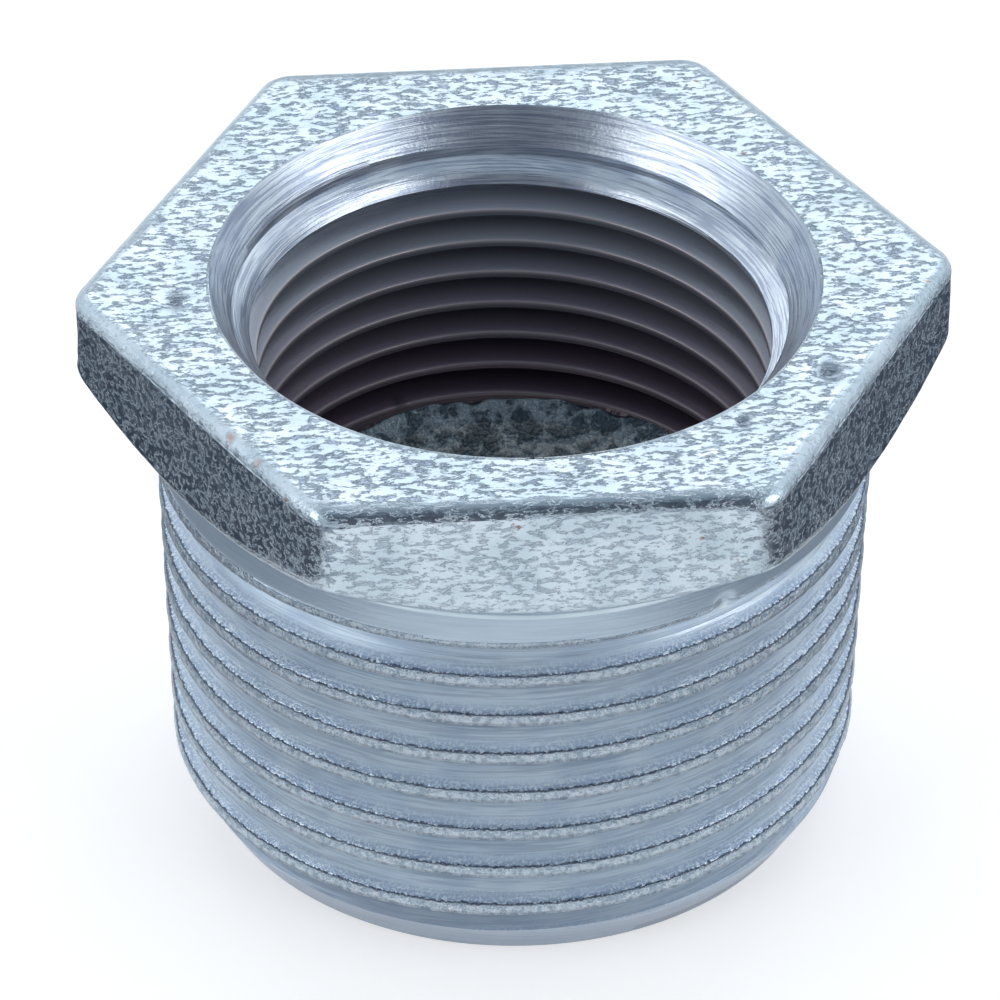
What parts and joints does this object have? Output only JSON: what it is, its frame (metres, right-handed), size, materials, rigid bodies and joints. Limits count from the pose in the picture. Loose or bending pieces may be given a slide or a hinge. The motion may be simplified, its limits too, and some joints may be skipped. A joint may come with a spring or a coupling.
{
  "type": "pipe bushing",
  "caption": "Hexagon reducing bushing in zinc coated malleable iron, with a taper pipe thread outside and a parallel pipe thread inside.",
  "frame": {"origin": "centre of the flat end face at the small end of the male thread", "axes": "+Z along both threads' axis, from the small end to the hexagon; +X through a corner of the hexagon, +Y square to a flat"},
  "size_m": [0.041, 0.036, 0.0283],
  "materials": {
    "galvanised_iron": "hot-dip zinc over rough casting, bright on the machined thread crests"
  },
  "bodies": {
    "root": {"bushing_body": "galvanised_iron"}
  },
  "joints": []
}
